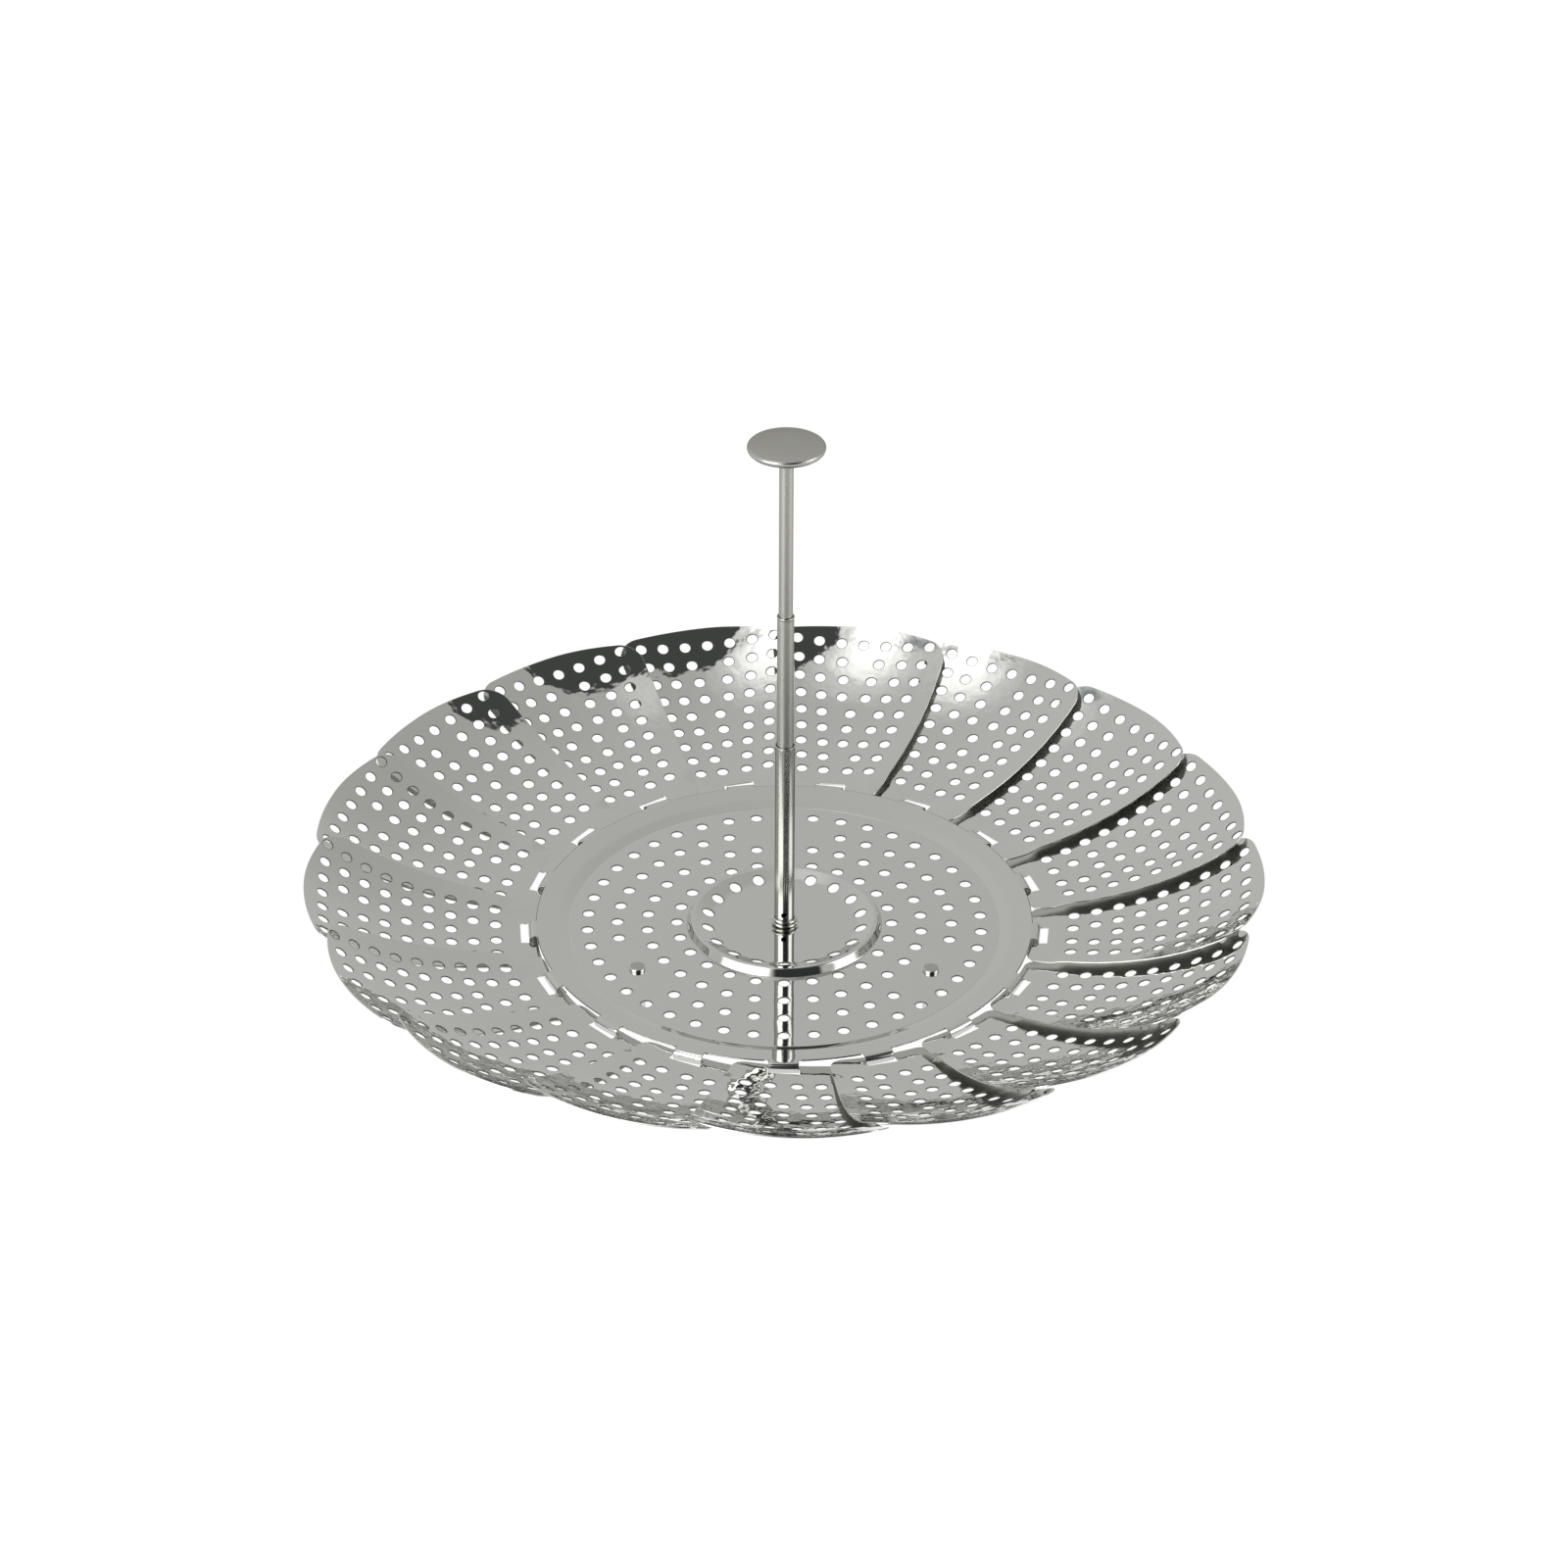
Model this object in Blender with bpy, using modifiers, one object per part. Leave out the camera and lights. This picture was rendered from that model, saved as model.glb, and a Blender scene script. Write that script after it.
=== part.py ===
"""Folding vegetable steamer basket of stainless steel sheet.

A perforated round plate stands on three riveted feet. Seventeen overlapping petals hinge on
lugs curled from the plate's rim, and a telescopic post with a round knob stands in the middle.
The model shows the basket open and the post drawn out.

Metres, +Z up. The origin is on the ground under the post and the front of the basket is at -Y.
Petals are numbered clockwise from the seam behind the post, seen from above, and each one lies
on top of the next. A petal is modelled with its hinge axis through its own origin, its blade
along +X and its clockwise side at -Y.
"""
import math

import bmesh
import bpy
from mathutils import Matrix, Vector

MM = 0.001

# Sheet metal and fits
SHEET = 0.5 * MM
GAP = 0.3 * MM
SLIDE_GAP = 0.1 * MM
OVERRUN = 2.0 * MM

# Plate, on its middle surface
FOOT_HEIGHT = 16.0 * MM
DISH_RADIUS = 20.7 * MM
BEAD_INNER_RADIUS = 26.2 * MM
BEAD_OUTER_RADIUS = 27.2 * MM
BEAD_FOOT_RADIUS = 28.5 * MM
BEAD_HEIGHT = 2.2 * MM
FLOOR_RADIUS = 63.1 * MM
RIM_RADIUS = 72.7 * MM
RIM_RISE = 2.0 * MM

# Round holes, in rings of growing count
HOLE_RADIUS = 1.65 * MM
FIRST_RING_RADIUS = 22.7 * MM
RING_PITCH = 8.75 * MM
FIRST_RING_COUNT = 18
RING_COUNT_STEP = 6
RINGS = 5
FOOT_RING = 3

# Feet
FEET = 3
FOOT_RADIUS = 2.25 * MM
FOOT_CHAMFER = 0.4 * MM
FOOT_HEAD_RADIUS = 2.5 * MM
FOOT_HEAD_HEIGHT = 1.1 * MM

# Lugs curled from the rim, one to a petal
PETALS = 17
LUG_WIDTH = 8.5 * MM
LUG_CURL_RADIUS = 1.6 * MM
LUG_CURL_ANGLE = math.radians(240)
LUG_REACH = 0.6 * MM

# Petals, each with a slot that lets its lug through and a lip that lies in the lug's curl
PETAL_LENGTH = 70.4 * MM
PETAL_UPPER_SIDE = 13.7 * MM
PETAL_UPPER_SPREAD_SHARE = 0.2935
PETAL_UPPER_BOW_RADIUS = 338.0 * MM
PETAL_LOWER_SIDE = 15.4 * MM
PETAL_LOWER_SPREAD_SHARE = 0.2
PETAL_INNER_CORNER = 3.5 * MM
PETAL_OUTER_CORNER = 7.0 * MM
PETAL_TIP_RADIUS = 97.0 * MM
PETAL_FLAT = 4.0 * MM
PETAL_BLEND = 6.0 * MM
PETAL_BASE_ANGLE = math.radians(5.2)
PETAL_TIP_ANGLE = math.radians(39)
PETAL_CURL_SHARE = 0.3
TWIST_BASE = math.radians(3.1)
TWIST_TIP = math.radians(2.8)
TROUGH_RADIUS_BASE = 125.0 * MM
TROUGH_RADIUS_TIP = 95.0 * MM
SLOT_PLAY = 1.45 * MM

# The petals' openings, a plain grid with about as much open steel as the 48 round holes of the real ones
PETAL_BAR = 7.4 * MM
PETAL_EDGE = 2.5 * MM
PETAL_ROWS = 8
PETAL_COLUMNS = 4
PETAL_OPENING_SHARE = 0.41

# How the open petals hang: from the lowest one clockwise, each is held a little higher by the next
LOWEST_PETAL = 15
HIGHEST_PETAL = 10
LOWEST_OPENING = math.radians(-3.4)
HIGHEST_OPENING = math.radians(0.8)

# Telescopic post
LOWER_TUBE_RADIUS = 2.85 * MM
LOWER_TUBE_WALL = 0.35 * MM
LOWER_TUBE_TOP = 61.1 * MM
INNER_TUBE_WALL = 0.3 * MM
MIDDLE_TUBE_SHOWN = 42.5 * MM
MIDDLE_TUBE_HELD = 10.0 * MM
UPPER_TUBE_SHOWN = 51.6 * MM
UPPER_TUBE_HELD = 6.0 * MM
TUBE_PIN_HOLE_RADIUS = 0.75 * MM
TUBE_PIN_HOLE_HEIGHT = 4.2 * MM

# Rivet that carries the post
RIVET_HEAD_RADIUS = 4.5 * MM
RIVET_HEAD_HEIGHT = 1.4 * MM
RIVET_HOLE_RADIUS = 2.0 * MM
RIVET_SPIGOT_HEIGHT = 2.4 * MM

# Spring clip round the foot of the post
CLIP_WALL = 0.45 * MM
CLIP_HEIGHT = 2.0 * MM
PRONG_RADIUS = 0.2 * MM
PRONG_LENGTH = 1.6 * MM
PRONG_ANGLE = math.radians(50)

# Knob
KNOB_RADIUS = 11.0 * MM
KNOB_THICKNESS = 2.2 * MM
KNOB_SPIGOT_LENGTH = 5.0 * MM

# Facets
TURN_STEPS = 24
KNOB_STEPS = 32
FOOT_STEPS = 12
HOLE_SIDES = 6
EDGE_STEPS = 3
CURL_STEPS = 7
RIM_STEPS = 2
PROFILE_STEPS = 60

# Places that follow from the sizes
FLOOR_MIDDLE = FOOT_HEIGHT + SHEET / 2
FLOOR_TOP = FOOT_HEIGHT + SHEET
RIM_MIDDLE = FLOOR_MIDDLE + RIM_RISE
HINGE_RADIUS = RIM_RADIUS + LUG_REACH
HINGE_HEIGHT = RIM_MIDDLE - LUG_CURL_RADIUS
PETAL_LIP = LUG_CURL_RADIUS - SHEET - GAP
SLOT_END = LUG_CURL_RADIUS + SHEET / 2 + SLOT_PLAY
PITCH = math.tau / PETALS
FOOT_RING_RADIUS = FIRST_RING_RADIUS + FOOT_RING * RING_PITCH
LOWER_BORE = LOWER_TUBE_RADIUS - LOWER_TUBE_WALL
MIDDLE_TUBE_RADIUS = LOWER_BORE - SLIDE_GAP
MIDDLE_BORE = MIDDLE_TUBE_RADIUS - INNER_TUBE_WALL
UPPER_TUBE_RADIUS = MIDDLE_BORE - SLIDE_GAP
UPPER_BORE = UPPER_TUBE_RADIUS - INNER_TUBE_WALL


def clear_scene():
    for item in list(bpy.data.objects):
        bpy.data.objects.remove(item, do_unlink=True)


def new_collection(name):
    collection = bpy.data.collections.new(name)
    bpy.context.scene.collection.children.link(collection)
    return collection


def steel(name, colour, roughness):
    """A bare stainless steel look: mirror polished at low roughness, brushed at high."""
    look = bpy.data.materials.new(name)
    look.use_nodes = True
    shader = look.node_tree.nodes["Principled BSDF"]
    shader.inputs["Base Color"].default_value = (*colour, 1.0)
    shader.inputs["Metallic"].default_value = 1.0
    shader.inputs["Roughness"].default_value = roughness
    look.diffuse_color = (*colour, 1.0)
    return look


def new_mesh(name, shape):
    """Turn a finished bmesh into a mesh."""
    mesh = bpy.data.meshes.new(name)
    shape.to_mesh(mesh)
    shape.free()
    return mesh


def add_object(name, mesh, collection, look=None):
    item = bpy.data.objects.new(name, mesh)
    collection.objects.link(item)
    if look:
        mesh.materials.append(look)
    return item


def direction(turn):
    """The level direction at a clockwise turn from the back, seen from above."""
    return Vector((math.sin(turn), math.cos(turn), 0))


def petal_turn(number):
    """Clockwise turn of a petal's centre line: the first two petals meet behind the post."""
    return (number + 0.5) * PITCH


def petal_opening(number):
    """How far an open petal hangs over or under the mean: a slow rise clockwise, then a quick fall."""
    rising = (HIGHEST_PETAL - LOWEST_PETAL) % PETALS
    place = (number + 1 - LOWEST_PETAL) % PETALS
    share = place / rising if place <= rising else (PETALS - place) / (PETALS - rising)
    return LOWEST_OPENING + (HIGHEST_OPENING - LOWEST_OPENING) * share


def arc(centre, radius, start, end, steps):
    """Points on an arc in (radius, height), both ends included, with angles from +X."""
    return [
        (
            centre[0] + radius * math.cos(start + (end - start) * step / steps),
            centre[1] + radius * math.sin(start + (end - start) * step / steps),
        )
        for step in range(steps + 1)
    ]


def turned(name, outline, collection, look, steps=TURN_STEPS):
    """Turn an outline of (radius, height) points, which runs down its outer side, round the axis.

    An outline that starts on the axis also ends there. Any other one is closed into a ring.
    """
    mesh = bpy.data.meshes.new(name)
    points = [(radius, 0, height) for radius, height in outline]
    edges = [(index, index + 1) for index in range(len(points) - 1)]
    if outline[0][0] > 0:
        edges.append((len(points) - 1, 0))
    mesh.from_pydata(points, edges, [])
    item = add_object(name, mesh, collection, look)
    screw = item.modifiers.new("turn", "SCREW")
    screw.steps = steps
    screw.render_steps = steps
    screw.use_merge_vertices = True
    screw.merge_threshold = SLIDE_GAP / 10
    screw.use_smooth_shade = True
    return item


def cut(item, cutter, operation="DIFFERENCE"):
    cutter.hide_render = True
    cutter.display_type = "WIRE"
    boolean = item.modifiers.new(cutter.name, "BOOLEAN")
    boolean.operation = operation
    boolean.object = cutter


def finished_mesh(item):
    """The object's mesh with its modifiers applied."""
    bpy.context.view_layer.update()
    shown = item.evaluated_get(bpy.context.evaluated_depsgraph_get())
    return bpy.data.meshes.new_from_object(shown)


def hole_places():
    """Places and tilts of the plate's round holes; three at each foot are left out."""
    slope = math.atan2(BEAD_HEIGHT, BEAD_INNER_RADIUS - DISH_RADIUS)
    for ring in range(RINGS):
        radius = FIRST_RING_RADIUS + ring * RING_PITCH
        count = FIRST_RING_COUNT + ring * RING_COUNT_STEP
        for index in range(count):
            left_out = ring == FOOT_RING and (index + 1) % (count // FEET) <= 2
            if not left_out:
                on_slope = DISH_RADIUS < radius < BEAD_INNER_RADIUS
                yield math.tau * index / count, radius, slope if on_slope else 0.0


def add_drill(drills, turn, radius, tilt, hole_radius):
    """Add one drill to a mesh of drills, square to the sheet at that place."""
    middle = FLOOR_MIDDLE + math.tan(tilt) * (radius - DISH_RADIUS)
    place = Matrix.Translation(direction(turn) * radius + Vector((0, 0, middle)))
    lean = Matrix.Rotation(-turn, 4, "Z") @ Matrix.Rotation(tilt, 4, "X")
    bmesh.ops.create_cone(
        drills,
        cap_ends=True,
        segments=HOLE_SIDES,
        radius1=hole_radius,
        radius2=hole_radius,
        depth=OVERRUN * 2,
        matrix=place @ lean,
    )


def make_drills(collection):
    drills = bmesh.new()
    for turn, radius, tilt in hole_places():
        add_drill(drills, turn, radius, tilt, HOLE_RADIUS)
    for foot in range(FEET):
        add_drill(drills, math.tau * foot / FEET, FOOT_RING_RADIUS, 0, HOLE_RADIUS)
    return add_object("plate_drills", new_mesh("plate_drills", drills), collection)


def plate_section(sheet):
    """The plate's section from the rivet hole to the rim, as a chain of edges behind the post."""
    lug_half_turn = math.asin(LUG_WIDTH / 2 / RIM_RADIUS)
    start = direction(petal_turn(0) - lug_half_turn)
    outline = [
        (RIVET_HOLE_RADIUS, FLOOR_MIDDLE),
        (DISH_RADIUS, FLOOR_MIDDLE),
        (BEAD_INNER_RADIUS, FLOOR_MIDDLE + BEAD_HEIGHT),
        (BEAD_OUTER_RADIUS, FLOOR_MIDDLE + BEAD_HEIGHT),
        (BEAD_FOOT_RADIUS, FLOOR_MIDDLE),
        (FLOOR_RADIUS, FLOOR_MIDDLE),
        (RIM_RADIUS, RIM_MIDDLE),
    ]
    corners = [sheet.verts.new(start * radius + Vector((0, 0, height))) for radius, height in outline]
    edges = [sheet.edges.new(pair) for pair in zip(corners, corners[1:])]
    return corners + edges


def curl_lug(sheet, turn):
    """Draw the rim's edge at a petal out into a tab that curls down and under the hinge axis."""
    outward = direction(turn)
    middle = outward * RIM_RADIUS + Vector((0, 0, RIM_MIDDLE))
    open_edges = [edge for edge in sheet.edges if edge.is_boundary]
    edge = min(open_edges, key=lambda side: ((side.verts[0].co + side.verts[1].co) / 2 - middle).length)
    start = (edge.verts[0].co + edge.verts[1].co) / 2
    place = (start.dot(outward), start.z)
    quarter = math.radians(90)
    axis = (HINGE_RADIUS, HINGE_HEIGHT)
    for point in arc(axis, LUG_CURL_RADIUS, quarter, quarter - LUG_CURL_ANGLE, CURL_STEPS):
        drawn = bmesh.ops.extrude_edge_only(sheet, edges=[edge])["geom"]
        corners = [part for part in drawn if isinstance(part, bmesh.types.BMVert)]
        edge = next(part for part in drawn if isinstance(part, bmesh.types.BMEdge))
        step = outward * (point[0] - place[0]) + Vector((0, 0, point[1] - place[1]))
        bmesh.ops.translate(sheet, verts=corners, vec=step)
        place = point


def make_plate(collection, cutters, look):
    """The pressed and perforated plate, with a curled lug for each petal."""
    sheet = bmesh.new()
    chain = plate_section(sheet)
    lug_turn = 2 * math.asin(LUG_WIDTH / 2 / RIM_RADIUS)
    for _ in range(PETALS):
        for turn, steps in ((lug_turn, 1), (PITCH - lug_turn, RIM_STEPS)):
            swept = bmesh.ops.spin(sheet, geom=chain, cent=(0, 0, 0), axis=(0, 0, -1), angle=turn, steps=steps)
            chain = swept["geom_last"]
    bmesh.ops.remove_doubles(sheet, verts=sheet.verts, dist=SHEET / 50)
    for number in range(PETALS):
        curl_lug(sheet, petal_turn(number))
    bmesh.ops.recalc_face_normals(sheet, faces=sheet.faces)
    mesh = new_mesh("base_plate", sheet)
    mesh.shade_smooth()
    mesh.set_sharp_from_angle(angle=math.radians(35))
    plate = add_object("base_plate", mesh, collection, look)
    thicken(plate)
    cut(plate, make_drills(cutters))


def thicken(item):
    """Give an open surface the sheet's thickness, half on each side."""
    shell = item.modifiers.new("sheet", "SOLIDIFY")
    shell.thickness = SHEET
    shell.offset = 0
    shell.use_even_offset = True


def make_feet(collection, look):
    """Turned pegs with a shoulder below the plate and a riveted head above it."""
    shank = HOLE_RADIUS - GAP
    shoulder = FOOT_HEIGHT - GAP
    head = FLOOR_TOP + GAP
    crown = FOOT_HEAD_HEIGHT / 2
    outline = [(0, head + FOOT_HEAD_HEIGHT)]
    outline += arc((FOOT_HEAD_RADIUS - crown, head + crown), crown, math.radians(90), 0, EDGE_STEPS)
    outline += [
        (FOOT_HEAD_RADIUS, head),
        (shank, head),
        (shank, shoulder),
        (FOOT_RADIUS, shoulder),
        (FOOT_RADIUS, FOOT_CHAMFER),
        (FOOT_RADIUS - FOOT_CHAMFER, 0),
        (0, 0),
    ]
    for number in range(FEET):
        foot = turned(f"foot_{number + 1}", outline, collection, look, FOOT_STEPS)
        foot.location = direction(math.tau * number / FEET) * FOOT_RING_RADIUS


def petal_slope(along):
    """Slope of a petal's centre line at a distance from its hinge axis."""
    share = max(along - PETAL_FLAT, 0) / (PETAL_LENGTH - PETAL_FLAT)
    curl = (1 - PETAL_CURL_SHARE) * share + PETAL_CURL_SHARE * share**2
    return PETAL_BASE_ANGLE + (PETAL_TIP_ANGLE - PETAL_BASE_ANGLE) * curl


def petal_centre(along):
    """Point of a petal's centre line, added up over short steps from the hinge axis."""
    step = along / PROFILE_STEPS
    slopes = [petal_slope((index + 0.5) * step) for index in range(PROFILE_STEPS)]
    return sum(step * math.cos(slope) for slope in slopes), sum(step * math.sin(slope) for slope in slopes)


def petal_lift(along, aside):
    """Height of a petal over its centre line: a twist that raises the clockwise side, and a trough."""
    share = max(along - PETAL_FLAT, 0) / (PETAL_LENGTH - PETAL_FLAT)
    blend = min(max(along - PETAL_FLAT, 0) / PETAL_BLEND, 1)
    blend = blend * blend * (3 - 2 * blend)
    twist = TWIST_BASE + (TWIST_TIP - TWIST_BASE) * share
    bend = 1 / TROUGH_RADIUS_BASE + (1 / TROUGH_RADIUS_TIP - 1 / TROUGH_RADIUS_BASE) * share
    return twist * aside + blend * bend * aside**2 / 2


def corner_loss(inside, radius):
    """How much a rounded corner narrows the petal at a distance inside its end."""
    if inside >= radius:
        return 0.0
    return radius - math.sqrt(max(radius**2 - (radius - inside) ** 2, 0))


def arc_sag(aside, radius):
    """How far an arc has fallen away from its tangent at a distance from where they touch."""
    return radius - math.sqrt(radius**2 - aside**2)


def petal_half_width(along, on_top):
    """Width from the centre line to the clockwise side, which lies on top, or to the other one."""
    if on_top:
        width = PETAL_UPPER_SIDE + PETAL_UPPER_SPREAD_SHARE * along - arc_sag(along, PETAL_UPPER_BOW_RADIUS)
    else:
        width = PETAL_LOWER_SIDE + PETAL_LOWER_SPREAD_SHARE * along
    width -= corner_loss(along + PETAL_LIP, PETAL_INNER_CORNER)
    return width - corner_loss(PETAL_LENGTH - along, PETAL_OUTER_CORNER)


def petal_point(along, side_share):
    """Map a distance from the hinge axis and a side share -1 to 1 onto the petal's middle surface.

    The tip is an arc, and the inner end follows the plate's rim.
    """
    share = (along + PETAL_LIP) / (PETAL_LENGTH + PETAL_LIP)
    aside = side_share * petal_half_width(along, side_share > 0)
    along -= arc_sag(aside, PETAL_TIP_RADIUS) * share + arc_sag(aside, HINGE_RADIUS) * (1 - share)
    slope = petal_slope(along)
    centre = petal_centre(along)
    lift = petal_lift(along, aside)
    return Vector((centre[0] - math.sin(slope) * lift, -aside, centre[1] + math.cos(slope) * lift))


def petal_lines():
    """Distances from the hinge axis of the grid's lines: even ones between a plain bar and a plain edge."""
    span = PETAL_LENGTH - PETAL_EDGE - PETAL_BAR
    even = [PETAL_BAR + span * row / PETAL_ROWS for row in range(PETAL_ROWS + 1)]
    return [-PETAL_LIP, 0, *even, PETAL_LENGTH]


def petal_blade():
    """The petal's middle surface as a grid with an opening in each cell between the bar and the edge."""
    lines = petal_lines()
    spans = len(lines) - 1
    blade = bmesh.new()
    bmesh.ops.create_grid(blade, x_segments=spans, y_segments=PETAL_COLUMNS, size=1)
    for corner in blade.verts:
        corner.co.x = (corner.co.x + 1) / 2 * spans
    bar = lines.index(PETAL_BAR)
    cells = [face for face in blade.faces if bar < face.calc_center_median().x < bar + PETAL_ROWS]
    bmesh.ops.inset_individual(blade, faces=cells, thickness=0)
    for cell in cells:
        about = Matrix.Translation(-cell.calc_center_median())
        bmesh.ops.scale(blade, vec=[PETAL_OPENING_SHARE] * 3, space=about, verts=cell.verts)
    bmesh.ops.delete(blade, geom=cells, context="FACES")
    for corner in blade.verts:
        line = min(int(corner.co.x), spans - 1)
        along = lines[line] + (lines[line + 1] - lines[line]) * (corner.co.x - line)
        corner.co = petal_point(along, -corner.co.y)
    return blade


def add_slot_cutter(cutters):
    """A block that clears the lug on both sides, from the petal's lip to past the curl."""
    start, end = petal_centre(PETAL_LIP), petal_centre(SLOT_END)
    middle = Vector(((start[0] + end[0]) / 2, 0, (start[1] + end[1]) / 2))
    size = Matrix.Diagonal((SLOT_END - PETAL_LIP, LUG_WIDTH + 2 * GAP, OVERRUN * 2, 1))
    block = bmesh.new()
    bmesh.ops.create_cube(block, size=1, matrix=Matrix.Translation(middle) @ size)
    return add_object("slot_cutter", new_mesh("slot_cutter", block), cutters)


def petal_mesh(collection, cutters):
    """One petal with its slot, made at the origin, because every petal shares it."""
    mesh = new_mesh("petal_blank", petal_blade())
    mesh.shade_smooth()
    blank = add_object("petal_blank", mesh, collection)
    thicken(blank)
    cutter = add_slot_cutter(cutters)
    cut(blank, cutter)
    finished = finished_mesh(blank)
    bpy.data.objects.remove(blank)
    bpy.data.objects.remove(cutter)
    return finished


def make_petals(collection, cutters, look):
    mesh = petal_mesh(collection, cutters)
    mesh.materials.append(look)
    for number in range(PETALS):
        turn = petal_turn(number)
        petal = add_object(f"petal_{number + 1:02d}", mesh, collection)
        petal.location = direction(turn) * HINGE_RADIUS + Vector((0, 0, HINGE_HEIGHT))
        petal.rotation_euler = (0, -petal_opening(number), math.radians(90) - turn)


def tube_outline(radius, bore, bottom, top):
    """Section of a tube whose mouth is rounded over inwards."""
    mouth = arc((bore, top - radius + bore), radius - bore, math.radians(90), 0, EDGE_STEPS)
    return mouth + [(radius, bottom), (bore, bottom)]


def add_pin_hole(tube, cutters):
    """The small hole through the front wall of the lower tube, just over the clip."""
    centre = Vector((0, -LOWER_TUBE_RADIUS, FLOOR_TOP + TUBE_PIN_HOLE_HEIGHT))
    drill = bmesh.new()
    bmesh.ops.create_cone(
        drill,
        cap_ends=True,
        segments=HOLE_SIDES,
        radius1=TUBE_PIN_HOLE_RADIUS,
        radius2=TUBE_PIN_HOLE_RADIUS,
        depth=LOWER_TUBE_RADIUS,
        matrix=Matrix.Translation(centre) @ Matrix.Rotation(math.radians(90), 4, "X"),
    )
    cut(tube, add_object("pin_hole_drill", new_mesh("pin_hole_drill", drill), cutters))


def make_post(collection, cutters, polished, satin):
    """Three tubes that slide into each other, and the knob on the inmost one."""
    lower_top = FLOOR_TOP + LOWER_TUBE_TOP
    outline = tube_outline(LOWER_TUBE_RADIUS, LOWER_BORE, FLOOR_TOP + GAP, lower_top)
    lower = turned("lower_tube", outline, collection, polished)
    add_pin_hole(lower, cutters)

    outline = tube_outline(MIDDLE_TUBE_RADIUS, MIDDLE_BORE, -MIDDLE_TUBE_HELD, MIDDLE_TUBE_SHOWN)
    middle = turned("middle_tube", outline, collection, satin)
    middle.parent = lower
    middle.location.z = lower_top

    outline = tube_outline(UPPER_TUBE_RADIUS, UPPER_BORE, -UPPER_TUBE_HELD, UPPER_TUBE_SHOWN)
    upper = turned("upper_tube", outline, collection, satin)
    upper.parent = middle
    upper.location.z = MIDDLE_TUBE_SHOWN

    knob = turned("knob", knob_outline(), collection, satin, KNOB_STEPS)
    knob.parent = upper
    knob.location.z = UPPER_TUBE_SHOWN + GAP


def knob_outline():
    """A flat disc with a rounded edge, and the spigot that is pressed into the upper tube."""
    round_edge = KNOB_THICKNESS / 2
    spigot = UPPER_BORE - GAP
    quarter = math.radians(90)
    outline = [(0, KNOB_THICKNESS)]
    outline += arc((KNOB_RADIUS - round_edge, round_edge), round_edge, quarter, -quarter, EDGE_STEPS * 2)
    return outline + [(spigot, 0), (spigot, -KNOB_SPIGOT_LENGTH), (0, -KNOB_SPIGOT_LENGTH)]


def make_rivet(collection, look):
    """The rivet under the plate's centre, whose spigot stands inside the lower tube."""
    shank = RIVET_HOLE_RADIUS - GAP
    spigot = LOWER_BORE - GAP
    underside = FOOT_HEIGHT - GAP
    seat = FLOOR_TOP + GAP
    crown = RIVET_HEAD_HEIGHT / 2
    centre = (RIVET_HEAD_RADIUS - crown, underside - RIVET_HEAD_HEIGHT + crown)
    outline = [
        (0, FLOOR_TOP + RIVET_SPIGOT_HEIGHT),
        (spigot, FLOOR_TOP + RIVET_SPIGOT_HEIGHT),
        (spigot, seat),
        (shank, seat),
        (shank, underside),
        (RIVET_HEAD_RADIUS, underside),
    ]
    outline += arc(centre, crown, 0, math.radians(-90), EDGE_STEPS)
    outline.append((0, underside - RIVET_HEAD_HEIGHT))
    turned("post_rivet", outline, collection, look)


def make_clip(collection, cutters, look):
    """The two-bead spring clip that grips the post's foot, with two upturned prongs."""
    bore = LOWER_TUBE_RADIUS + GAP
    foot = FLOOR_TOP + GAP
    bead = CLIP_HEIGHT / 4
    quarter = math.radians(90)
    outline = [(bore, foot + CLIP_HEIGHT)]
    for height in (CLIP_HEIGHT - bead, bead):
        outline += arc((bore + CLIP_WALL - bead / 2, foot + height), bead, quarter, -quarter, EDGE_STEPS)
    outline.append((bore, foot))
    clip = turned("post_clip", outline, collection, look)

    prongs = bmesh.new()
    for side in (-1, 1):
        root = Vector((side * (bore + CLIP_WALL / 2), 0, foot + CLIP_HEIGHT - bead))
        lean = Matrix.Rotation(side * (quarter - PRONG_ANGLE), 4, "Y")
        rise = Matrix.Translation((0, 0, PRONG_LENGTH / 2))
        bmesh.ops.create_cone(
            prongs,
            cap_ends=True,
            segments=HOLE_SIDES,
            radius1=PRONG_RADIUS,
            radius2=PRONG_RADIUS,
            depth=PRONG_LENGTH,
            matrix=Matrix.Translation(root) @ lean @ rise,
        )
    cut(clip, add_object("clip_prongs", new_mesh("clip_prongs", prongs), cutters), "UNION")


def main():
    clear_scene()
    steamer = new_collection("vegetable_steamer")
    cutters = new_collection("cutters")
    mirror = steel("mirror_polished_steel", (0.62, 0.62, 0.6), 0.08)
    satin = steel("satin_steel", (0.6, 0.6, 0.58), 0.32)
    make_plate(steamer, cutters, mirror)
    make_feet(steamer, mirror)
    make_petals(steamer, cutters, mirror)
    make_rivet(steamer, satin)
    make_clip(steamer, cutters, mirror)
    make_post(steamer, cutters, mirror, satin)


main()
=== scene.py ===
# %% [markdown]
# # A folding vegetable steamer in polished stainless steel
#
# The real basket opens like a flower. A round plate stands on three short feet, 17 thin petals hang on
# tabs round its rim, and a post of three sliding tubes with a flat knob stands in the middle.
# Nearly everything is steel sheet less than half a millimetre thick, punched full of holes while it is
# flat, then pressed into shape and tumbled until it shines like a mirror.
#
# The cells below make each piece the way the factory does: a flat blank, punched, given its thickness and
# soft edges, and only then pressed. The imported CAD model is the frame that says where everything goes.

import math

import bmesh
import bpy
from mathutils import Matrix, Vector


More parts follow.
